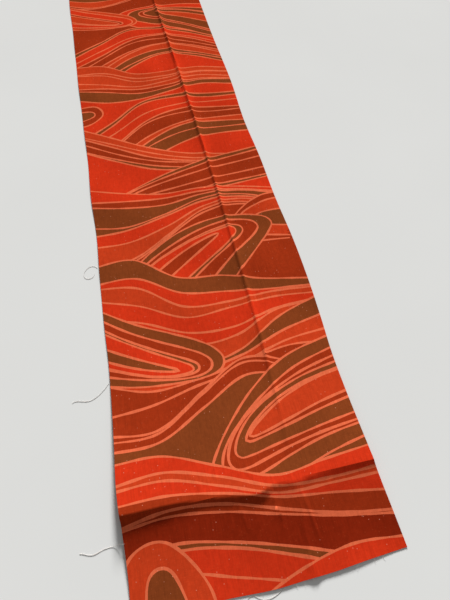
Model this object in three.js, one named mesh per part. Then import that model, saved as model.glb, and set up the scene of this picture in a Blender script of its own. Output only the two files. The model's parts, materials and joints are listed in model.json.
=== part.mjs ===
// A long narrow length of silk, 360 mm wide, lying face up on a flat surface.
// Two pressed creases stand up from it as low ridges. They divide the cloth into four panels,
// and the cloth folds over its own face along each of them. A few loose yarns lie at its edges.
//
// Millimetres, +Z up. X runs across the cloth and Y along it, away from the cut end.
// The origin is at the middle of the cloth, on the surface that it lies on.
import * as THREE from 'three';

// Driving dimensions
const CLOTH_WIDTH = 360;
const CLOTH_LENGTH = 1600;
const CLOTH_THICKNESS = 0.4;
const SIDE_PANEL_WIDTH = 110; // from the lengthwise crease to the right selvedge
const FLAP_LENGTH = 118; // from the cross crease to the cut end
const CREST_HEIGHT = 10; // underside of the cloth at the top of both ridges
const SEAM_GAP = 0.3; // clearance between two panels along a crease
const LAYER_CLEARANCE = 8; // kept free beside the cross crease, where folded layers pass

// Half widths of the two ridges, measured from their crests
const RIDGE_LEFT = 45;
const RIDGE_RIGHT = 28;
const RIDGE_FAR = 110;

// Shape of each slope: 1 is straight, 2 a sharp pinched crest with a long hollow side
const RIDGE_POWER = 2;
const FAR_POWER = 1.5;
const FLAP_POWER = 2.4;

// Places that follow from them
const LEFT_EDGE = -CLOTH_WIDTH / 2;
const RIGHT_EDGE = CLOTH_WIDTH / 2;
const CUT_END = -CLOTH_LENGTH / 2;
const FAR_END = CLOTH_LENGTH / 2;
const CREASE_X = RIGHT_EDGE - SIDE_PANEL_WIDTH;
const CREASE_Y = CUT_END + FLAP_LENGTH;

// Loose yarns
const YARN_DIAMETER = 0.4;
const YARN_SIDES = 8;
const YARN_STEP = 2.5 * YARN_DIAMETER;

const silk = (colour) => new THREE.MeshStandardMaterial({ color: colour, roughness: 0.62, metalness: 0 });
const PANEL_COLOURS = { main: 0xd23c22, side: 0xc8401f, flapLeft: 0x9c2c17, flapRight: 0x8a2a15 };
const YARN_COLOUR = 0xd9c8bd;

// A ridge's share of the crest height at a distance from its crest
function ridgeShare(distance, reach, power) {
  return Math.max(0, 1 - Math.abs(distance) / reach) ** power;
}

// Height of the cloth's underside. The two ridges merge where they cross, and both crests keep
// one height over their whole length, so that each is a straight hinge line.
function undersideHeight(x, y) {
  const across = ridgeShare(x - CREASE_X, x < CREASE_X ? RIDGE_LEFT : RIDGE_RIGHT, RIDGE_POWER);
  const along = y < CREASE_Y
    ? ridgeShare(y - CREASE_Y, FLAP_LENGTH, FLAP_POWER)
    : ridgeShare(y - CREASE_Y, RIDGE_FAR, FAR_POWER);
  return CREST_HEIGHT * (1 - (1 - across) * (1 - along));
}

// A panel is a closed sheet over a grid of lines: its face, its back and four narrow edges.
function panelGeometry(xLines, yLines) {
  const columns = xLines.length;
  const rows = yLines.length;
  const layer = columns * rows;
  const positions = [];
  for (const lift of [0, CLOTH_THICKNESS]) {
    for (const y of yLines) {
      for (const x of xLines) positions.push(x, y, undersideHeight(x, y) + lift);
    }
  }
  const indices = [];
  const quad = (a, b, c, d) => indices.push(a, b, c, a, c, d);
  const at = (column, row) => row * columns + column;
  for (let row = 0; row < rows - 1; row += 1) {
    for (let column = 0; column < columns - 1; column += 1) {
      const [a, b] = [at(column, row), at(column + 1, row)];
      const [c, d] = [at(column + 1, row + 1), at(column, row + 1)];
      quad(a + layer, b + layer, c + layer, d + layer);
      quad(a, d, c, b); // split along the same diagonal as the face, so that the two never cross
    }
  }
  const wall = (a, b) => quad(a, b, b + layer, a + layer);
  for (let column = 0; column < columns - 1; column += 1) {
    wall(at(column, 0), at(column + 1, 0));
    wall(at(column + 1, rows - 1), at(column, rows - 1));
  }
  for (let row = 0; row < rows - 1; row += 1) {
    wall(at(columns - 1, row), at(columns - 1, row + 1));
    wall(at(0, row + 1), at(0, row));
  }
  const geometry = new THREE.BufferGeometry();
  geometry.setAttribute('position', new THREE.Float32BufferAttribute(positions, 3));
  geometry.setIndex(indices);
  geometry.computeVertexNormals();
  return geometry;
}

function panel(name, colour, xLines, yLines) {
  const mesh = new THREE.Mesh(panelGeometry(xLines, yLines), silk(colour));
  mesh.name = name;
  return mesh;
}

// Grid lines from a crease outwards, given as shares of the ridge's reach, then the panel's far edge
function linesFrom(crease, firstGap, reach, edge) {
  const direction = Math.sign(edge - crease);
  const shares = [0.16, 0.34, 0.58, 1].filter((share) => share * reach < Math.abs(edge - crease));
  const distances = [firstGap, ...shares.map((share) => share * reach)];
  const lines = [...distances.map((distance) => crease + direction * distance), edge];
  return lines.sort((a, b) => a - b);
}

// A loose yarn: a thin tube along a smooth curve through its points
function yarn(name, points) {
  const curve = new THREE.CatmullRomCurve3(points.map((point) => new THREE.Vector3(...point)));
  const section = new THREE.Shape();
  for (let side = 0; side < YARN_SIDES; side += 1) {
    const angle = (2 * Math.PI * side) / YARN_SIDES;
    const [u, v] = [Math.cos(angle), Math.sin(angle)].map((share) => (share * YARN_DIAMETER) / 2);
    if (side === 0) section.moveTo(u, v);
    else section.lineTo(u, v);
  }
  section.closePath();
  const steps = Math.round(curve.getLength() / YARN_STEP);
  const geometry = new THREE.ExtrudeGeometry(section, { steps, extrudePath: curve, bevelEnabled: false });
  const material = new THREE.MeshStandardMaterial({ color: YARN_COLOUR, roughness: 0.8, metalness: 0 });
  const mesh = new THREE.Mesh(geometry, material);
  mesh.name = name;
  return mesh;
}

// Routes of the loose yarns. Each leaves the cloth's edge and comes down to the surface.
const YARN_ROUTES = {
  loose_yarn_far: [
    [-180.6, -255, 0.4], [-184, -251.5, 0.25], [-188, -249.5, 0.25], [-192.5, -249.5, 0.25],
    [-197, -251.5, 0.25], [-201, -255, 0.25], [-204, -259.5, 0.25], [-205.5, -264.5, 0.25],
    [-205, -269.5, 0.25], [-202.5, -273.5, 0.25], [-198.5, -275.5, 0.25], [-194, -275.5, 0.25],
    [-190, -273.5, 0.25], [-187.5, -270, 0.25], [-187, -266, 0.25],
  ],
  loose_yarn_middle: [
    [-180.6, -481, 0.4], [-183.5, -484.5, 0.25], [-187, -488.5, 0.25], [-191, -492, 0.25],
    [-195, -495.5, 0.25], [-199.5, -498.5, 0.25], [-204, -501, 0.25], [-208.5, -502.8, 0.25],
    [-213, -503.6, 0.25], [-217.5, -503.4, 0.25], [-222, -502.4, 0.25], [-226.5, -501, 0.25],
    [-231, -500, 0.25], [-235, -500, 0.25], [-238.5, -501.4, 0.25],
  ],
  loose_yarn_near: [
    [-180.8, -711, 5.3], [-183.5, -710.6, 5], [-186.5, -710.2, 3.9], [-189.5, -710, 2.5],
    [-192.5, -710, 1.3], [-196, -710, 0.5], [-200, -710, 0.25], [-204.5, -710.2, 0.25],
    [-209, -710.8, 0.25], [-213.5, -712, 0.25], [-218, -713.4, 0.25], [-222.5, -714.2, 0.25],
    [-227, -713.6, 0.25], [-231.5, -712, 0.25], [-236, -710, 0.25], [-240, -709, 0.25],
  ],
  frayed_yarn: [
    [14, -800.6, 0.4], [11, -802.4, 0.25], [7.5, -804.4, 0.25], [4, -806.4, 0.25],
    [0, -808.2, 0.25], [-4, -809.6, 0.25], [-8.5, -810.6, 0.25], [-13, -811, 0.25],
    [-17.5, -810.6, 0.25], [-21.5, -809.2, 0.25], [-25, -807.2, 0.25], [-28, -804.8, 0.25],
    [-31.5, -803.4, 0.25], [-35, -803.6, 0.25], [-38, -805, 0.25],
  ],
};

const mainColumns = linesFrom(CREASE_X, SEAM_GAP / 2, RIDGE_LEFT, LEFT_EDGE);
const sideColumns = linesFrom(CREASE_X, SEAM_GAP / 2, RIDGE_RIGHT, RIGHT_EDGE);
const mainRows = linesFrom(CREASE_Y, SEAM_GAP / 2, RIDGE_FAR, FAR_END);
const sideRows = linesFrom(CREASE_Y, LAYER_CLEARANCE, RIDGE_FAR, FAR_END);
const flapLeftRows = linesFrom(CREASE_Y, SEAM_GAP / 2, FLAP_LENGTH, CUT_END);
const flapRightRows = linesFrom(CREASE_Y, LAYER_CLEARANCE, FLAP_LENGTH, CUT_END);

const cloth = new THREE.Group();
cloth.add(
  panel('main_panel', PANEL_COLOURS.main, mainColumns, mainRows),
  panel('side_panel', PANEL_COLOURS.side, sideColumns, sideRows),
  panel('near_flap_left', PANEL_COLOURS.flapLeft, mainColumns, flapLeftRows),
  panel('near_flap_right', PANEL_COLOURS.flapRight, sideColumns, flapRightRows),
  ...Object.entries(YARN_ROUTES).map(([name, points]) => yarn(name, points)),
);

export default cloth;
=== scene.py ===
"""A long narrow length of resist-dyed silk, lying face up on a white table.

The cloth's pattern and relief are written in millimetres on the cloth: u runs across it and v
along it, away from the cut end. The relief follows the two ridges of the CAD panels.
"""
import json
import math
import random

import bpy
import numpy as np
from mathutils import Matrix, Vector
from mathutils.geometry import delaunay_2d_cdt
from mathutils.kdtree import KDTree


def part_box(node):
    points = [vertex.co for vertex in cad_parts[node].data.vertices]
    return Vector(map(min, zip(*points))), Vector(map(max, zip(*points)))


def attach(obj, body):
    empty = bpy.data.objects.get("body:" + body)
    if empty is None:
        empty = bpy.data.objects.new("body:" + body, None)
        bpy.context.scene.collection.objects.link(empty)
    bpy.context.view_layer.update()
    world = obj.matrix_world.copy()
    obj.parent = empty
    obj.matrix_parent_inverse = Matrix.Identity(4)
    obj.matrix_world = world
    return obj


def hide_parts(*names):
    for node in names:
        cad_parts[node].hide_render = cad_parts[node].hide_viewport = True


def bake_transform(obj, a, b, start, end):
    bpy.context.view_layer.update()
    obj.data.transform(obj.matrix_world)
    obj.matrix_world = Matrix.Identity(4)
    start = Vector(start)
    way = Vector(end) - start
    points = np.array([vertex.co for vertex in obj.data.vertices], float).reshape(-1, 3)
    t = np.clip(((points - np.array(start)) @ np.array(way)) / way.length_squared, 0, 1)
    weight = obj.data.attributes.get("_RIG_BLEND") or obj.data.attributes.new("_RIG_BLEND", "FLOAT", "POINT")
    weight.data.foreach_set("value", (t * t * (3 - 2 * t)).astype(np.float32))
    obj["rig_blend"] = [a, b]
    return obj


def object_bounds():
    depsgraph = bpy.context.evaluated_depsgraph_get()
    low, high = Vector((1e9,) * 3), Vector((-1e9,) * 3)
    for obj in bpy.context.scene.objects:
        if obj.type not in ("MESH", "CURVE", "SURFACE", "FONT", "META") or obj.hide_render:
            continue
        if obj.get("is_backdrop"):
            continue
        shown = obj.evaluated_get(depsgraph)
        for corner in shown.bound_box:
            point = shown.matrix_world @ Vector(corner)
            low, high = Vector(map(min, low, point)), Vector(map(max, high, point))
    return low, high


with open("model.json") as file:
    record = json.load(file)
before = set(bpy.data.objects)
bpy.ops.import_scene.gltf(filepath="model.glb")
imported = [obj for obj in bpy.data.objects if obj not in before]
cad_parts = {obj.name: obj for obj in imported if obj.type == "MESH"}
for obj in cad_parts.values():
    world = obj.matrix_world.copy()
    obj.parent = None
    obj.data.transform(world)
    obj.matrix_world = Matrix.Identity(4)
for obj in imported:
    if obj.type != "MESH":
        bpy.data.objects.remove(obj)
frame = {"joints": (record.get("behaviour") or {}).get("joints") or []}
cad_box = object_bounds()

MM = 0.001  # metres

# ---------------------------------------------------------------- places, from the frame
joints = {joint["name"]: joint for joint in frame["joints"]}
CUT_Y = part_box("near_flap_left")[0].y
FAR_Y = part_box("main_panel")[1].y
HINGE_X = joints["side_fold"]["pos_m"][0]
HINGE_Y = joints["near_fold"]["pos_m"][1]
HINGE_Z = joints["near_fold"]["pos_m"][2]
PATTERN_SHIFT = 3  # mm that the pattern lies left of the cloth's middle

LENGTH = (FAR_Y - CUT_Y) / MM
SEAM_V = (HINGE_Y - CUT_Y) / MM
CREST = HINGE_Z / MM
THICKNESS = 0.4  # mm
BEND_HALF_WIDTH = 6 * MM  # of the strip that bends along the lengthwise fold


def to_x(u):
    return (u - PATTERN_SHIFT) * MM


def to_y(v):
    return CUT_Y + v * MM


# ---------------------------------------------------------------- curves
def smooth(points, step):
    """Points about every step along a centripetal Catmull-Rom curve through the given ones."""
    p = np.array(points, float)
    p = np.vstack([2 * p[0] - p[1], p, 2 * p[-1] - p[-2]])
    spans = np.linalg.norm(np.diff(p, axis=0), axis=1)
    knots = np.concatenate([[0], np.cumsum(np.sqrt(spans))])
    found = []
    for i in range(1, len(p) - 2):
        count = max(1, round(spans[i] / step))
        t = np.linspace(knots[i], knots[i + 1], count, endpoint=False)[:, None]
        k0, k1, k2, k3 = knots[i - 1:i + 3]
        a1 = ((k1 - t) * p[i - 1] + (t - k0) * p[i]) / (k1 - k0)
        a2 = ((k2 - t) * p[i] + (t - k1) * p[i + 1]) / (k2 - k1)
        a3 = ((k3 - t) * p[i + 1] + (t - k2) * p[i + 2]) / (k3 - k2)
        b1 = ((k2 - t) * a1 + (t - k0) * a2) / (k2 - k0)
        b2 = ((k3 - t) * a2 + (t - k1) * a3) / (k3 - k1)
        found.append(((k2 - t) * b1 + (t - k1) * b2) / (k2 - k1))
    return np.vstack(found + [p[-2:-1]])


def smoothstep(t):
    t = np.clip(t, 0, 1)
    return t * t * (3 - 2 * t)


def add_to_scene(name, data):
    piece = bpy.data.objects.new(name, data)
    bpy.context.scene.collection.objects.link(piece)
    return piece


# ---------------------------------------------------------------- camera
CAMERA_FROM_CUT_END = Vector((-63.1, 13.9, 693.0)) * MM
CAMERA_DOWN = 58.51
CAMERA_TURN = 12.67
CAMERA_LENS = 28.08


def make_camera():
    data = bpy.data.cameras.new("camera")
    data.lens = CAMERA_LENS
    data.sensor_width = 36
    data.clip_start = 0.01
    camera = add_to_scene("camera", data)
    camera.location = Vector((0, CUT_Y, 0)) + CAMERA_FROM_CUT_END
    camera.rotation_euler = (math.radians(90 - CAMERA_DOWN), 0, -math.radians(CAMERA_TURN))
    bpy.context.scene.camera = camera


# ---------------------------------------------------------------- materials
class Nodes:
    """Adds nodes to a material's tree and joins them."""

    def __init__(self, name):
        self.material = bpy.data.materials.new(name)
        self.material.use_nodes = True
        self.tree = self.material.node_tree
        self.shader = self.tree.nodes["Principled BSDF"]

    def add(self, kind, inputs=(), **settings):
        node = self.tree.nodes.new("ShaderNode" + kind)
        for key, value in settings.items():
            setattr(node, key, value)
        for socket, value in dict(inputs).items():
            self.put(value, node.inputs[socket])
        return node

    def put(self, value, socket):
        """Set a socket to a value, or join it to another node's output."""
        if isinstance(value, bpy.types.NodeSocket):
            self.tree.links.new(value, socket)
        else:
            socket.default_value = value

    def math(self, operation, a, b):
        return self.add("Math", {0: a, 1: b}, operation=operation).outputs[0]

    def mix(self, share, a, b, blend="MIX"):
        node = self.add("Mix", data_type="RGBA", blend_type=blend)
        for socket, value in ((0, share), (6, a), (7, b)):
            self.put(value, node.inputs[socket])
        return node.outputs[2]

    def noise(self, place, scale, detail=2.0, roughness=0.5):
        inputs = {"Vector": place, "Scale": scale, "Detail": detail, "Roughness": roughness}
        return self.add("TexNoise", inputs).outputs["Fac"]

    def ramp(self, value, low, high, to_low=0.0, to_high=1.0):
        inputs = {"Value": value, "From Min": low, "From Max": high, "To Min": to_low, "To Max": to_high}
        return self.add("MapRange", inputs, interpolation_type="SMOOTHSTEP").outputs[0]

    def stretched(self, place, x, y):
        inputs = {"Vector": place, "Scale": (x, y, 1)}
        return self.add("Mapping", inputs).outputs[0]

    def specks(self, place, x, y, share_left_out, core, edge):
        """Small spots scattered over the cloth, at most one in each cell of a grid of x by y."""
        cells = self.add("TexVoronoi", {"Vector": self.stretched(place, x, y), "Scale": 1.0})
        chance = self.add("SeparateColor", {0: cells.outputs["Color"]}).outputs[0]
        kept = self.math("GREATER_THAN", chance, share_left_out)
        return self.math("MULTIPLY", self.ramp(cells.outputs["Distance"], core, edge, 1.0, 0.0), kept)


def linear(red, green, blue):
    """A colour given as 0-255 screen values, as linear light."""

    def channel(c):
        c /= 255
        return c / 12.92 if c <= 0.04045 else ((c + 0.055) / 1.055) ** 2.4
    return (channel(red), channel(green), channel(blue), 1)


DYES = {
    "bright": linear(212, 54, 25),
    "vermilion": linear(201, 63, 29),
    "rust": linear(160, 51, 21),
    "olive": linear(133, 63, 29),
    # rust painted darker, as painted shade on the near flap
    "rust_in_painted_shade": linear(140, 38, 15),
}
RESIST = linear(231, 108, 70)  # the undyed lines, tinted by the dyes beside them


def silk_material(name, fade):
    """Plain-woven slub silk. The dyes come from the mesh; fade is how much paler the cloth is."""
    n = Nodes(name)
    cloth = n.add("Attribute", attribute_name="cloth_mm").outputs["Vector"]
    dye = n.add("Attribute", attribute_name="dye").outputs["Color"]
    # Uneven dyeing: broad clouds, finer mottling, and streaks that run along the warp
    clouds = n.ramp(n.noise(n.stretched(cloth, 0.012, 0.008), 1.0, 3.0), 0.3, 0.7, 0.93, 1.07)
    mottle = n.ramp(n.noise(n.stretched(cloth, 0.16, 0.12), 1.0, 4.0, 0.65), 0.3, 0.7, 0.93, 1.07)
    streaks = n.ramp(n.noise(n.stretched(cloth, 1.1, 0.03), 1.0, 3.0, 0.6), 0.3, 0.7, 0.91, 1.09)
    shade = n.math("MULTIPLY", n.math("MULTIPLY", clouds, mottle), streaks)
    grey = n.add("CombineColor", {0: shade, 1: shade, 2: shade}).outputs[0]
    colour = n.mix(1.0, dye, grey, "MULTIPLY")
    # Slubs: thicker bits of yarn, raised by the bump and painted lighter as a painted highlight where they
    # catch the light, longer across the cloth than along it
    slubs_and_painted_highlight = n.specks(cloth, 0.28, 0.62, 0.72, 0.08, 0.26)
    # painted highlight: the slubs' colour is mixed towards a lighter orange
    colour = n.mix(n.math("MULTIPLY", slubs_and_painted_highlight, 0.22), colour, linear(238, 120, 70))
    flecks = n.specks(cloth, 0.15, 0.14, 0.58, 0.05, 0.11)
    colour = n.mix(n.math("MULTIPLY", flecks, 0.6), colour, linear(250, 170, 140))
    colour = n.mix(fade, colour, linear(226, 150, 118))
    n.put(colour, n.shader.inputs["Base Color"])
    # The weave: warp and weft a little under half a millimetre apart
    warp = n.add("TexWave", {"Vector": cloth, "Scale": 0.36, "Distortion": 0.6, "Detail": 1.0,
                             "Detail Scale": 0.4}, bands_direction="X").outputs["Fac"]
    weft = n.add("TexWave", {"Vector": cloth, "Scale": 0.33, "Distortion": 0.8, "Detail": 1.0,
                             "Detail Scale": 0.3}, bands_direction="Y").outputs["Fac"]
    weave = n.math("MULTIPLY", n.math("ADD", warp, weft), 0.5)
    lumps = n.noise(n.stretched(cloth, 0.10, 0.45), 1.0, 3.0)
    height = n.math("ADD", n.math("ADD", weave, n.math("MULTIPLY", lumps, 1.4)), slubs_and_painted_highlight)
    bump = n.add("Bump", {"Strength": 0.35, "Distance": 0.12 * MM, "Height": height})
    n.put(bump.outputs[0], n.shader.inputs["Normal"])
    n.put(n.ramp(mottle, 0.9, 1.1, 0.66, 0.56), n.shader.inputs["Roughness"])
    n.shader.inputs["Specular IOR Level"].default_value = 0.0
    return n.material


def yarn_material():
    """Pale silk yarn: twisted plies, and dye that has crept along it in places."""
    n = Nodes("loose_yarn")
    place = n.add("NewGeometry").outputs["Position"]
    creep = n.ramp(n.noise(place, 90.0, 2.0), 0.45, 0.65)
    n.put(n.mix(creep, linear(212, 204, 198), linear(196, 176, 165)), n.shader.inputs["Base Color"])
    twist = n.noise(place, 2600.0, 2.0)
    bump = n.add("Bump", {"Strength": 0.5, "Distance": 0.05 * MM, "Height": twist})
    n.put(bump.outputs[0], n.shader.inputs["Normal"])
    n.put(n.ramp(twist, 0.3, 0.7, 0.7, 0.9), n.shader.inputs["Roughness"])
    n.shader.inputs["Sheen Weight"].default_value = 0.3
    return n.material


def table_material():
    n = Nodes("table")
    place = n.add("NewGeometry").outputs["Position"]
    grain = n.noise(place, 3.0, 3.0)
    n.put(n.mix(grain, (0.77, 0.77, 0.75, 1), (0.81, 0.81, 0.79, 1)), n.shader.inputs["Base Color"])
    n.shader.inputs["Roughness"].default_value = 0.7
    n.shader.inputs["Specular IOR Level"].default_value = 0.0  # or the low light glares off it
    return n.material


# ---------------------------------------------------------------- loose yarns
YARN_DIAMETER = 0.4 * MM
YARN_STEP = 1.5 * MM
YARN_ROUTES = {  # the CAD yarns' points, in metres, with the body that each one moves with
    "loose_yarn_far": ("main", [
        (-0.1806, -0.255, 0.0004), (-0.184, -0.2515, 0.00025), (-0.188, -0.2495, 0.00025),
        (-0.1925, -0.2495, 0.00025), (-0.197, -0.2515, 0.00025), (-0.201, -0.255, 0.00025),
        (-0.204, -0.2595, 0.00025), (-0.2055, -0.2645, 0.00025), (-0.205, -0.2695, 0.00025),
        (-0.2025, -0.2735, 0.00025), (-0.1985, -0.2755, 0.00025), (-0.194, -0.2755, 0.00025),
        (-0.190, -0.2735, 0.00025), (-0.1875, -0.270, 0.00025), (-0.187, -0.266, 0.00025)]),
    "loose_yarn_middle": ("main", [
        (-0.1806, -0.481, 0.0004), (-0.1835, -0.4845, 0.00025), (-0.187, -0.4885, 0.00025),
        (-0.191, -0.492, 0.00025), (-0.195, -0.4955, 0.00025), (-0.1995, -0.4985, 0.00025),
        (-0.204, -0.501, 0.00025), (-0.2085, -0.5028, 0.00025), (-0.213, -0.5036, 0.00025),
        (-0.2175, -0.5034, 0.00025), (-0.222, -0.5024, 0.00025), (-0.2265, -0.501, 0.00025),
        (-0.231, -0.500, 0.00025), (-0.235, -0.500, 0.00025), (-0.2385, -0.5014, 0.00025)]),
    "loose_yarn_near": ("near_left", [
        (-0.1808, -0.711, 0.0053), (-0.1835, -0.7106, 0.005), (-0.1865, -0.7102, 0.0039),
        (-0.1895, -0.710, 0.0025), (-0.1925, -0.710, 0.0013), (-0.196, -0.710, 0.0005),
        (-0.200, -0.710, 0.00025), (-0.2045, -0.7102, 0.00025), (-0.209, -0.7108, 0.00025),
        (-0.2135, -0.712, 0.00025), (-0.218, -0.7134, 0.00025), (-0.2225, -0.7142, 0.00025),
        (-0.227, -0.7136, 0.00025), (-0.2315, -0.712, 0.00025), (-0.236, -0.710, 0.00025),
        (-0.240, -0.709, 0.00025)]),
    "frayed_yarn": ("near_left", [
        (0.014, -0.8006, 0.0004), (0.011, -0.8024, 0.00025), (0.0075, -0.8044, 0.00025),
        (0.004, -0.8064, 0.00025), (0.0, -0.8082, 0.00025), (-0.004, -0.8096, 0.00025),
        (-0.0085, -0.8106, 0.00025), (-0.013, -0.811, 0.00025), (-0.0175, -0.8106, 0.00025),
        (-0.0215, -0.8092, 0.00025), (-0.025, -0.8072, 0.00025), (-0.028, -0.8048, 0.00025),
        (-0.0315, -0.8034, 0.00025), (-0.035, -0.8036, 0.00025), (-0.038, -0.805, 0.00025)]),
}


def make_yarn(node, body, route, material):
    """One loose yarn: a limp cord on a smooth curve through its route."""
    line = smooth(route, YARN_STEP)
    curve = bpy.data.curves.new(node + "_line", "CURVE")
    curve.dimensions = "3D"
    curve.bevel_depth = YARN_DIAMETER / 2
    curve.bevel_resolution = 2
    curve.use_fill_caps = True
    spline = curve.splines.new("POLY")
    spline.points.add(len(line) - 1)
    for point, place in zip(spline.points, line):
        point.co = (*place, 1)
    curve.materials.append(material)
    piece = add_to_scene(node + "_silk", curve)
    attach(piece, body)
    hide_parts(node)
    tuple(route[0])


# ---------------------------------------------------------------- relief
RIDGE_MIDDLE = 450


def ridge_line(v):
    """u of the lengthwise ridge's crest, which bows a little to the left at both ends."""
    away = v - RIDGE_MIDDLE
    bow = np.where(away < 0, 20 * (away / 430) ** 2, 21 * (away / 950) ** 2)
    return 76 - np.clip(bow, 0, 22)


CREASE = [(-190, 122), (-150, 121.5), (-116, 121.5), (-71, 119), (-26, 113.5), (8, 109), (18, 111),
          (28, 116), (65, 113.5), (81, 116), (120, 118), (156, 118.5), (190, 118)]
LIP = [(-190, 0.44), (-120, 0.38), (-60, 0.26), (-10, 0.26), (12, 0.38), (26, 0.12), (80, 0.10),
       (110, 0.14), (190, 0.20)]  # share of the crest's height that drops at once on its near side
WRINKLES = [  # small pinches that run off the cross crease: both ends, and height in mm
    ((24, 114), (33, 58), 0.9), ((36, 122), (56, 172), 0.8), ((12, 114), (0, 150), 0.7),
    ((66, 112), (76, 24), 0.8), ((-62, 122), (-80, 156), 0.6), ((-104, 116), (-116, 76), 0.6),
    ((122, 119), (132, 160), 0.6), ((-22, 110), (-15, 66), 0.6), ((112, 114), (106, 72), 0.5)]
WRINKLE_WIDTH = 2.2
SEAM_MARGIN = 6  # mm beside the fold line in which the wrinkles die out
RIPPLE_MARGIN = 40  # the same for the ripples


def crease_line(u):
    """v of the cross crease's crest, which wanders on both sides of the fold line."""
    line = smooth(CREASE, 2)
    return np.interp(u, line[:, 0], line[:, 1])


def tent(distance, reach, power, softness):
    """1 at the crest and 0 past reach, with a crest rounded over about softness."""
    away = np.sqrt(distance ** 2 + softness ** 2) - softness
    return np.clip(1 - away / reach, 0, 1) ** power


def crease_profile(d, u):
    """Height share at a distance beyond (+) or short of (-) the cross crease's crest."""
    lip = np.interp(u, *np.array(LIP).T)
    beyond = tent(d, 230, 1.25, 0.8)
    near = (1 - lip) * tent(d, 124, 1.6, 0.8) + lip * tent(d, 9, 1.2, 0.8)
    return np.where(d > 0, beyond, near)


def ridge_profile(off, far):
    """Height share beside the lengthwise ridge: a sharp pinch on top of a broader slope."""
    pinch = tent(off, 5, 1.2, 0.5)
    left = 0.55 * pinch + 0.45 * tent(off, 26 + 8 * far, 1.8, 0.8)
    right = 0.4 * pinch + 0.6 * tent(off, 16 + 4 * far, 1.8, 0.8)
    return np.where(off < 0, left, right)


def line_frame(start, end):
    """The length of the line from start to end, and the unit vectors along it and beside it."""
    step = np.subtract(end, start)
    length = np.hypot(*step)
    heading = step / length
    return length, heading, np.array([-heading[1], heading[0]])


def wrinkle_height(u, v):
    """Height that the wrinkles add, in mm. Each one swells in its middle and dies at its ends."""
    places = np.column_stack([np.ravel(u), np.ravel(v)])
    added = np.zeros(len(places))
    for start, end, height in WRINKLES:
        length, heading, side = line_frame(start, end)
        share = (places - start) @ heading / length
        off = (places - start) @ side
        swell = np.sin(np.pi * np.clip(share, 0, 1)) ** 0.7
        added += height * swell * np.exp(-(off / WRINKLE_WIDTH) ** 2)
    return added.reshape(np.shape(u))


def ripples(u, v):
    """Broad ripples that lift the cloth off the table, in mm. They die out by the fold line."""
    lift = 1 + 0.45 * np.sin(u / 23 + v / 61) * np.sin(v / 47 - u / 90) + 0.35 * np.sin(v / 29 + u / 37)
    return lift * (1 - np.exp(-((v - SEAM_V) / RIPPLE_MARGIN) ** 2))


def relief(u, v):
    """Height of the middle of the cloth, in mm. On the fold line it is the hinge's own height."""
    far = smoothstep((v - 150) / 950)
    ridge_height = 2.4 + 1.6 * smoothstep((v - 60) / 150) + 2.4 * far
    ridge = ridge_height * ridge_profile(u - ridge_line(v), far)
    crest = crease_line(u)
    crease = crease_profile(v - crest, u) / crease_profile(SEAM_V - crest, u)
    wrinkles = wrinkle_height(u, v) * np.clip(abs(v - SEAM_V) / SEAM_MARGIN, 0, 1)
    flat_share = np.clip(1 - crease, 0, 1)
    return CREST * crease + (ridge + ripples(u, v)) * flat_share + wrinkles


# ---------------------------------------------------------------- outline
LEFT_EDGE = [(-180, 0), (-178, 50), (-180, 120), (-181, 160), (-178, 230), (-176, 300),
             (-175, 360), (-176, 435), (-175, 520), (-173, 610), (-176, 715), (-175, 830),
             (-177, 970), (-179, 1120), (-179, 1300), (-181, 1480), (-179, 1600)]
RIGHT_EDGE = [(183, 0), (182, 40), (180, 90), (179, 150), (179, 280), (184, 355),
              (187, 436), (188, 529), (184, 634), (184, 752), (180, 886), (184, 1040),
              (181, 1217), (181, 1426), (183, 1600)]
CUT = [(-180, 2), (-120, 1), (-58, 0), (0, -3), (39, -2), (81, -1), (126, 2), (183, 5)]


# ---------------------------------------------------------------- pattern
# A flowing-water pattern: nested streams with undyed lines between them. Streams either cross
# the cloth or curl back on themselves. They are laid from the far end to the cut end, and each
# one covers what it crosses.
SIDES = 190  # mm; the pattern runs a little past both selvedges
STATIONS = np.linspace(-SIDES, SIDES, 6)
UNDER_CUT = -20


def uneven(count):
    """Shares from 0 towards 1 for the lines between nested streams, some of them wide."""
    widths = 1 + 0.5 * np.cos(2.4 * np.arange(count) + count)
    return np.concatenate([[0], np.cumsum(widths)[:-1]]) / widths.sum()


def across(dyes, far, near):
    """Streams that cross the cloth, one for each dye, from the far line towards the near line.

    A line is given by its v at each station. Every stream's dye fills all that lies nearer,
    until the next one covers it.
    """
    drop = np.array(near) - far
    for k, share in enumerate(uneven(len(dyes))):
        wander = 0.2 / len(dyes) * np.sin(2.1 * k + 1.4 * np.arange(len(STATIONS)))
        v = far + drop * (share + wander * (k > 0))
        yield dyes[k], np.column_stack([STATIONS, v]), [(SIDES, UNDER_CUT), (-SIDES, UNDER_CUT)]


def curling(dyes, root, heading, length, half_width, bow):
    """Nested streams that run from root, turn round and go back, bowed to the left of heading."""
    theta = np.radians(np.linspace(-90, 90, 13))
    forward = np.array([math.cos(math.radians(heading)), math.sin(math.radians(heading))])
    leftward = np.array([-forward[1], forward[0]])
    for k, share in enumerate(uneven(len(dyes))):
        ahead = (length - 1.1 * share * half_width) * np.cos(theta).clip(0) ** 0.75
        aside = half_width * (1 - share) * np.sin(theta) * (1 + 0.12 * np.sin(3 * theta + k))
        aside += bow * (ahead / length) ** 2 - 0.25 * share * bow
        yield dyes[k], np.array(root) + ahead[:, None] * forward + aside[:, None] * leftward, []


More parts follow.
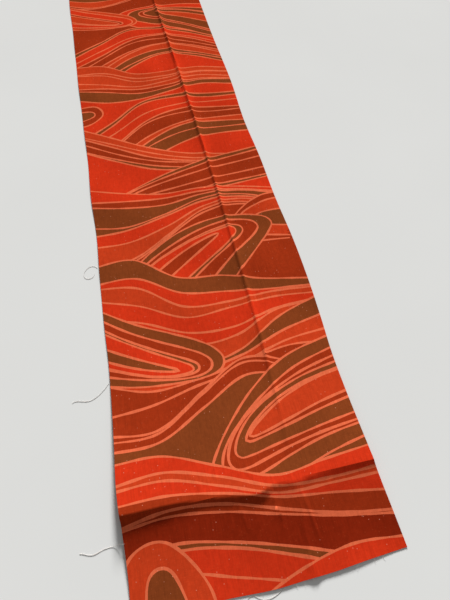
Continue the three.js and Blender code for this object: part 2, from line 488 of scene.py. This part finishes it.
PATTERN = [
    across(["rust", "bright", "vermilion", "vermilion", "olive", "vermilion", "rust", "rust"],
           [1594, 1572, 1580, 1596, 1600, 1584], [1430, 1408, 1424, 1458, 1454, 1424]),
    curling(["bright", "olive", "rust", "olive", "vermilion"], (250, 1255), 140, 320, 88, 84),
    curling(["vermilion", "bright", "rust", "vermilion"], (-222, 1430), -32, 226, 52, 40),
    across(["olive", "bright", "bright", "rust", "rust", "vermilion", "vermilion", "olive",
            "olive", "bright"],
           [1222, 1266, 1314, 1310, 1280, 1232], [1004, 1060, 1118, 1158, 1136, 1098]),
    across(["vermilion", "vermilion", "vermilion", "vermilion", "rust", "olive", "bright"],
           [1170, 1160, 1112, 1108, 1110, 1090], [1026, 1004, 1004, 1020, 1032, 1018]),
    curling(["rust", "olive"], (-190, 976), 4, 60, 34, 0),
    across(["olive", "bright", "bright", "rust", "rust", "vermilion", "olive", "olive",
            "bright"],
           [884, 940, 1000, 1014, 1000, 992], [672, 730, 796, 838, 844, 838]),
    across(["vermilion", "vermilion", "rust", "rust", "olive", "bright"],
           [934, 886, 838, 806, 788, 774], [836, 790, 756, 744, 728, 702]),
    curling(["olive", "rust", "rust"], (190, 744), 184, 322, 46, 30),
    across(["bright", "rust", "olive", "olive", "bright", "vermilion", "rust", "rust"],
           [742, 718, 700, 700, 688, 668], [480, 500, 560, 620, 630, 586]),
    curling(["rust", "vermilion", "olive"], (190, 588), 172, 104, 60, 10),
    curling(["olive", "rust", "olive", "bright", "rust"], (-96, 440), 50, 278, 84, -90),
    across(["olive", "bright", "vermilion", "bright", "bright", "vermilion"],
           [544, 548, 492, 480, 456, 440], [400, 356, 324, 330, 372, 380]),
    across(["olive", "vermilion", "vermilion", "rust", "rust"],
           [412, 348, 318, 330, 376, 402], [240, 250, 276, 286, 272, 250]),
    curling(["olive", "rust", "olive", "bright", "olive"], (-236, 424), -40, 258, 62, 64),
    across(["rust", "rust", "olive"],
           [232, 226, 272, 314, 290, 244], [190, 196, 236, 272, 246, 204]),
    curling(["olive", "rust", "rust", "olive", "rust", "vermilion"],
            (200, 232), 186, 260, 84, 74),
    # The last stream's dye is rust painted darker, as painted shade on the near flap
    across(["bright", "vermilion", "bright", "rust", "rust", "rust_in_painted_shade"],
           [190, 188, 158, 128, 134, 140], [76, 84, 83, 66, 38, 16]),
    across(["olive", "bright", "bright"],
           [66, 74, 60, 38, 12, -12], [-4, 14, 0, -20, -42, -60]),
    curling(["vermilion", "olive"], (-138, -26), 86, 108, 58, 8),
    across(["bright"], [-70, -56, -18, 10, 24, 18], [-70, -56, -18, 10, 24, 18]),
]
LINE_WIDTH = 3.6
LINE_STEP = 4.5
SHORTEST_RUN = 4  # samples; shorter stretches of a line are left out


def inside(points, polygon):
    """Which points lie in the polygon."""
    x, y = points[:, 0], points[:, 1]
    hit = np.zeros(len(points), bool)
    for (ax, ay), (bx, by) in zip(polygon, np.roll(polygon, -1, axis=0)):
        if ay != by:
            crosses = (ay > y) != (by > y)
            hit ^= crosses & (x < (bx - ax) * (y - ay) / (by - ay) + ax)
    return hit


def distance_to(points, line):
    """Distance of each point from the line, and how far along the line, in segments."""
    best = np.full(len(points), np.inf)
    along = np.zeros(len(points))
    for i, (a, b) in enumerate(zip(line, line[1:])):
        step = b - a
        t = np.clip((points - a) @ step / (step @ step), 0, 1)
        gap = np.hypot(*(points - a - t[:, None] * step).T)
        closer = gap < best
        best[closer] = gap[closer]
        along[closer] = i + t[closer]
    return best, along


def line_widths(index, count):
    """Width at each sample of a line: brushed resist swells and thins along its way."""
    s = np.arange(count)
    swell = 0.16 * np.sin(s * 0.31 + index * 1.7) + 0.10 * np.sin(s * 0.83 + index * 2.9)
    return LINE_WIDTH * (1 + 0.12 * math.sin(index * 2.3) + swell)


class Stream:
    """One dyed stream: its resist line, and the polygon that its dye fills."""

    def __init__(self, index, dye, line, closing):
        self.dye = dye
        self.line = smooth(line, LINE_STEP)
        self.polygon = np.vstack([self.line, np.reshape(closing, (-1, 2))])
        self.widths = line_widths(index, len(self.line))

    def ribbon(self, first, last):
        """The two edges of the line's ribbon between two samples."""
        line = self.line[first:last]
        heading = np.gradient(line, axis=0)
        heading /= np.linalg.norm(heading, axis=1)[:, None]
        side = np.column_stack([-heading[:, 1], heading[:, 0]]) * self.widths[first:last, None] / 2
        return line + side, line - side


laid = [stream for group in PATTERN for stream in group]
streams = [Stream(index, *stream) for index, stream in enumerate(laid)]


def visible_runs():
    """For each stream, the stretches of its line that no later dyed shape covers."""
    owner = np.concatenate([np.full(len(s.line), i) for i, s in enumerate(streams)])
    samples = np.vstack([s.line for s in streams])
    covered = np.zeros(len(samples), bool)
    for i, stream in enumerate(streams):
        earlier = owner < i
        covered[earlier] |= inside(samples[earlier], stream.polygon)
    for i in range(len(streams)):
        shown = np.concatenate([[False], ~covered[owner == i], [False]])
        starts = np.flatnonzero(shown[1:] & ~shown[:-1])
        ends = np.flatnonzero(~shown[1:] & shown[:-1])
        for start, end in zip(starts, ends):
            first, last = max(0, start - 1), min(len(shown) - 2, end + 1)
            if last - first >= SHORTEST_RUN:
                yield i, first, last


def near_to(points, shape):
    """Indexes of the points that lie in the shape's box or within LINE_WIDTH of it."""
    low = shape.min(0) - LINE_WIDTH
    high = shape.max(0) + LINE_WIDTH
    return np.flatnonzero(((points > low) & (points < high)).all(1))


def dye_points(points):
    """The dye, or the resist line's colour, at each point. Later streams paint over earlier ones."""
    names = list(DYES)
    dye = np.full(len(points), names.index("vermilion"))
    on_line = np.zeros(len(points), bool)
    for stream in streams:
        near = near_to(points, stream.polygon)
        found = near[inside(points[near], stream.polygon)]
        dye[found] = names.index(stream.dye)
        on_line[found] = False
        near = near_to(points, stream.line)
        gap, along = distance_to(points[near], stream.line)
        width = np.interp(along, np.arange(len(stream.line)), stream.widths)
        on_line[near[gap < width / 2]] = True
    colours = np.array([DYES[name] for name in names])[dye]
    colours[on_line] = RESIST
    return colours


# ---------------------------------------------------------------- the cloth's mesh
GRID = 6.0
CLEAR = 2.0  # free points keep this far from the drawn ones, and from each other
BEND_LINES = 7  # drawn along the strip that bends, so that it bends smoothly
RIDGE_ROWS = (-30, -22, -15, -9, -5.5, -2.8, 2.5, 5.5, 9, 14, 19)
CREASE_ROWS = (-22, -16, -11.5, -8.5, -5.5, -2.6, 0, 2.6, 6, 11)
WRINKLE_ROWS = (-5, -2.4, 0, 2.4, 5)


class Plan:
    """Points and lines in the plane, for the triangulation."""

    def __init__(self):
        self.points = []
        self.edges = []

    def add_line(self, line, closed=False):
        first = len(self.points)
        self.points.extend(map(tuple, line))
        last = len(self.points) - 1
        self.edges.extend((i, i + 1) for i in range(first, last))
        if closed:
            self.edges.append((last, first))


def outline():
    """The cloth's outline: both selvedges, the cut end and the far end."""
    cut = smooth(CUT, GRID)
    right = smooth(RIGHT_EDGE, GRID)[1:]
    left = smooth(LEFT_EDGE, GRID)[1:]
    far_u = np.arange(right[-1][0] - GRID, left[-1][0] + GRID / 2, -GRID)
    far = np.column_stack([far_u, np.full(len(far_u), LENGTH)])
    return np.vstack([cut, right, far, left[::-1]])


def draw_seam(plan):
    """The line that the far cloth and the near cloth share, a little past both selvedges."""
    left = np.interp(SEAM_V, *np.array(LEFT_EDGE).T[::-1]) - CLEAR
    right = np.interp(SEAM_V, *np.array(RIGHT_EDGE).T[::-1]) + CLEAR
    u = np.linspace(left, right, round((right - left) / GRID))
    plan.add_line(np.column_stack([u, np.full(len(u), SEAM_V)]))


def draw_bend(plan, v):
    """Straight lines along the strip that bends, and the ridge's crest where it lies beside it."""
    middle = HINGE_X / MM + PATTERN_SHIFT
    half_width = BEND_HALF_WIDTH / MM
    for u in np.linspace(middle - half_width, middle + half_width, BEND_LINES):
        plan.add_line(np.column_stack([np.full(len(v), u), v]))
    beside = abs(ridge_line(v) - middle) > half_width + CLEAR
    for part in (v < RIDGE_MIDDLE, v > RIDGE_MIDDLE):
        crest = v[part & beside]
        plan.add_line(np.column_stack([ridge_line(crest), crest]))


def rows_beside_creases(v):
    """Rows of points that follow the ridge, the cross crease and the wrinkles."""
    rows = [np.column_stack([ridge_line(v) + offset, v]) for offset in RIDGE_ROWS]
    u = np.arange(-SIDES, SIDES, GRID)
    rows += [np.column_stack([u, crease_line(u) + offset]) for offset in CREASE_ROWS]
    for start, end, _ in WRINKLES:
        _, _, side = line_frame(start, end)
        middle = smooth([start, end], GRID)
        rows += [middle + offset * side for offset in WRINKLE_ROWS]
    return rows


def scattered():
    """A grid of points over the whole cloth, each one shifted a little at random."""
    rng = np.random.default_rng(4)
    u, v = np.meshgrid(np.arange(-SIDES, SIDES, GRID), np.arange(0, LENGTH, GRID))
    return np.column_stack([u.ravel(), v.ravel()]) + rng.uniform(-1, 1, (u.size, 2))


def make_plan(edges):
    plan = Plan()
    plan.add_line(edges, closed=True)
    v = np.arange(GRID, LENGTH - GRID / 2, GRID)
    draw_seam(plan)
    draw_bend(plan, v)
    for index, first, last in visible_runs():
        for side in streams[index].ribbon(first, last):
            plan.add_line(side)
    drawn = KDTree(len(plan.points))
    for i, (a, b) in enumerate(plan.points):
        drawn.insert((a, b, 0), i)
    drawn.balance()
    free = np.vstack(rows_beside_creases(v) + [scattered()])
    free = [place for place in free[inside(free, edges)] if drawn.find((*place, 0))[2] > CLEAR]
    plan.points.extend(thinned(free))
    return plan


def thinned(points):
    """The points without those that lie closer than CLEAR to an earlier one."""
    cells = {}
    kept = []
    for a, b in points:
        column, row = int(a // CLEAR), int(b // CLEAR)
        close = any(
            math.hypot(a - c, b - d) < CLEAR
            for i in (-1, 0, 1) for j in (-1, 0, 1)
            for c, d in cells.get((column + i, row + j), ())
        )
        if not close:
            cells.setdefault((column, row), []).append((a, b))
            kept.append((a, b))
    return kept


def triangulate():
    edges = outline()
    plan = make_plan(edges)
    points, _, faces, *_ = delaunay_2d_cdt([Vector(p) for p in plan.points], plan.edges, [], 0, 1e-4)
    points = np.array([tuple(p) for p in points])
    faces = np.array([f for f in faces if len(f) == 3])
    a, b, c = (points[faces[:, i]] for i in range(3))
    area = (b - a)[:, 0] * (c - a)[:, 1] - (b - a)[:, 1] * (c - a)[:, 0]
    faces[area < 0] = faces[area < 0][:, ::-1]
    centres = (a + b + c) / 3
    keep = inside(centres, edges) & (abs(area) > 1e-6)
    return points, faces[keep], centres[keep]


def rim_of(faces):
    """The sides that belong to one face only, and the number of the face that has each one."""
    sides = np.vstack([faces[:, [0, 1]], faces[:, [1, 2]], faces[:, [2, 0]]]).tolist()
    owner = {tuple(side): i % len(faces) for i, side in enumerate(sides)}
    rim = [side for side in owner if side[::-1] not in owner]
    return rim, [owner[side] for side in rim]


def set_attribute(attributes, name, kind, domain, field, values):
    """Write one attribute of the mesh, for its material to read."""
    attribute = attributes.new(name, kind, domain)
    attribute.data.foreach_set(field, values.astype(np.float32).ravel())


def make_sheet(name, points, faces, colours, materials):
    """A closed thin sheet over some of the plan's faces: face side, back side and rim."""
    used, faces = np.unique(faces, return_inverse=True)
    faces = faces.reshape(-1, 3)
    flat = points[used]
    count = len(flat)
    x, y = to_x(flat[:, 0]), to_y(flat[:, 1])
    z = relief(flat[:, 0], flat[:, 1]) * MM
    top = np.column_stack([x, y, z + THICKNESS / 2 * MM])
    back = np.column_stack([x, y, z - THICKNESS / 2 * MM])
    rim, rim_faces = rim_of(faces)
    walls = [(b, a, a + count, b + count) for a, b in rim]
    polygons = faces.tolist() + (faces[:, ::-1] + count).tolist() + walls
    mesh = bpy.data.meshes.new(name)
    mesh.from_pydata(np.vstack([top, back]).tolist(), [], polygons)
    for material in materials:
        mesh.materials.append(material)
    slots = (np.arange(len(polygons)) >= len(faces)).astype(np.int32)
    mesh.polygons.foreach_set("material_index", slots)
    mesh.polygons.foreach_set("use_smooth", np.ones(len(polygons), bool))
    place = np.column_stack([flat, np.zeros(count)])
    both_sides = [np.repeat(colours, 3, axis=0)] * 2
    corners = np.vstack(both_sides + [np.repeat(colours[rim_faces], 4, axis=0)])
    set_attribute(mesh.attributes, "cloth_mm", "FLOAT_VECTOR", "POINT", "vector", np.vstack([place] * 2))
    set_attribute(mesh.color_attributes, "dye", "FLOAT_COLOR", "CORNER", "color", corners)
    mesh.update()
    mesh.validate()
    mesh.set_sharp_from_angle(angle=math.radians(60))
    return add_to_scene(name, mesh)


def make_cloth(materials):
    """The cloth beyond the cross crease, and the cloth between it and the cut end."""
    points, faces, centres = triangulate()
    colours = dye_points(centres)
    beyond = centres[:, 1] > SEAM_V
    far_cloth = make_sheet("far_cloth", points, faces[beyond], colours[beyond], materials)
    near_cloth = make_sheet("near_cloth", points, faces[~beyond], colours[~beyond], materials)
    return far_cloth, near_cloth


# ---------------------------------------------------------------- the cut end's fringe
FRINGE_COUNT = 90
LONG_SHARE = 0.15  # the share of the ends that were cut long
END_RADIUS = 0.14
ROOT = 0.5  # each end starts this far inside the cloth
RINGS = 4
TURNS = 3


def end_vertices(rng, cut):
    """The rings of points of one short end of yarn, from inside the cloth to its loose tip."""
    u = rng.uniform(cut[0, 0] + CLEAR, cut[-1, 0] - CLEAR)
    v = float(np.interp(u, cut[:, 0], cut[:, 1]))
    height = float(relief(np.array([u]), np.array([v]))[0])
    reach = rng.uniform(3.5, 6.5) if rng.random() < LONG_SHARE else rng.uniform(1.0, 3.0)
    lean = rng.uniform(-0.7, 0.7)
    for share in np.linspace(0, 1, RINGS):
        a = u + lean * reach * share ** 1.5
        b = v + ROOT - (reach + ROOT) * share
        z = max(END_RADIUS, height - 0.4 * share)
        radius = END_RADIUS * (1 - 0.4 * share)
        for angle in np.arange(TURNS) * 2 * math.pi / TURNS:
            yield to_x(a + radius * math.cos(angle)), to_y(b), (z + radius * math.sin(angle)) * MM


def end_faces(base):
    """The faces of one end, whose points start at base."""
    for ring in range(RINGS - 1):
        for turn in range(TURNS):
            i = base + TURNS * ring + turn
            j = base + TURNS * ring + (turn + 1) % TURNS
            yield i, j, j + TURNS, i + TURNS
    last = base + TURNS * (RINGS - 1)
    yield tuple(range(base + TURNS - 1, base - 1, -1))
    yield tuple(range(last, last + TURNS))


def make_fringe(material):
    """Short ends of warp and weft that stand out of the raw cut."""
    rng = random.Random(11)
    cut = smooth(CUT, 2.0)
    vertices, faces = [], []
    for _ in range(FRINGE_COUNT):
        faces.extend(end_faces(len(vertices)))
        vertices.extend(end_vertices(rng, cut))
    mesh = bpy.data.meshes.new("cut_fringe")
    mesh.from_pydata(vertices, [], faces)
    mesh.materials.append(material)
    return add_to_scene("cut_fringe", mesh)


# ---------------------------------------------------------------- table and light
TABLE_SIZE = 40
TABLE_Z = -0.1 * MM  # just below the yarns and the cloth
LIGHT_ALL_ROUND = 0.24
LIGHT_SEEN = 0.78


def make_table(material):
    bpy.ops.mesh.primitive_plane_add(size=TABLE_SIZE, location=(0, 0, TABLE_Z))
    table = bpy.context.object
    table.name = "table"
    table.data.materials.append(material)
    table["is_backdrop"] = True


def soft_sun(name, azimuth, elevation, spread, strength):
    """Even light from far away. Azimuth turns from +Y towards +X; all angles are in degrees."""
    data = bpy.data.lights.new(name, "SUN")
    data.angle = math.radians(spread)
    data.energy = strength
    light = add_to_scene(name, data)
    light.rotation_euler = (math.radians(elevation - 90), 0, -math.radians(azimuth))


def make_light():
    """Pale even light all round, paler still where the camera sees past the table."""
    world = bpy.context.scene.world or bpy.data.worlds.new("world")
    bpy.context.scene.world = world
    world.use_nodes = True
    tree = world.node_tree
    background = tree.nodes["Background"]
    background.inputs["Color"].default_value = (1.0, 1.0, 1.0, 1)
    seen = tree.nodes.new("ShaderNodeLightPath").outputs["Is Camera Ray"]
    strength = tree.nodes.new("ShaderNodeMapRange")
    strength.inputs["To Min"].default_value = LIGHT_ALL_ROUND
    strength.inputs["To Max"].default_value = LIGHT_SEEN
    tree.links.new(seen, strength.inputs["Value"])
    tree.links.new(strength.outputs[0], background.inputs["Strength"])
    soft_sun("window", azimuth=14, elevation=16, spread=12, strength=7.6)
    bpy.context.scene.view_settings.view_transform = "Standard"


# ---------------------------------------------------------------- build
make_camera()
yarn = yarn_material()
for node, (body, route) in YARN_ROUTES.items():
    make_yarn(node, body, route, yarn)
silk = [silk_material("silk_face", 0.0), silk_material("silk_back", 0.22)]
far_cloth, near_cloth = make_cloth(silk)
cut_fringe = make_fringe(yarn)

bend_start = HINGE_X - BEND_HALF_WIDTH
bend_end = HINGE_X + BEND_HALF_WIDTH
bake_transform(far_cloth, "main", "side", start=(bend_start, 0, 0), end=(bend_end, 0, 0))
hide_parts("main_panel", "side_panel")
for piece in (near_cloth, cut_fringe):
    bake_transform(piece, "near_left", "near_right", start=(bend_start, 0, 0), end=(bend_end, 0, 0))
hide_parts("near_flap_left", "near_flap_right")

make_table(table_material())
make_light()

boxes = {"cad": cad_box, "visual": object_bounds()}
{name: [list(map(float, corner)) for corner in box] for name, box in boxes.items()}
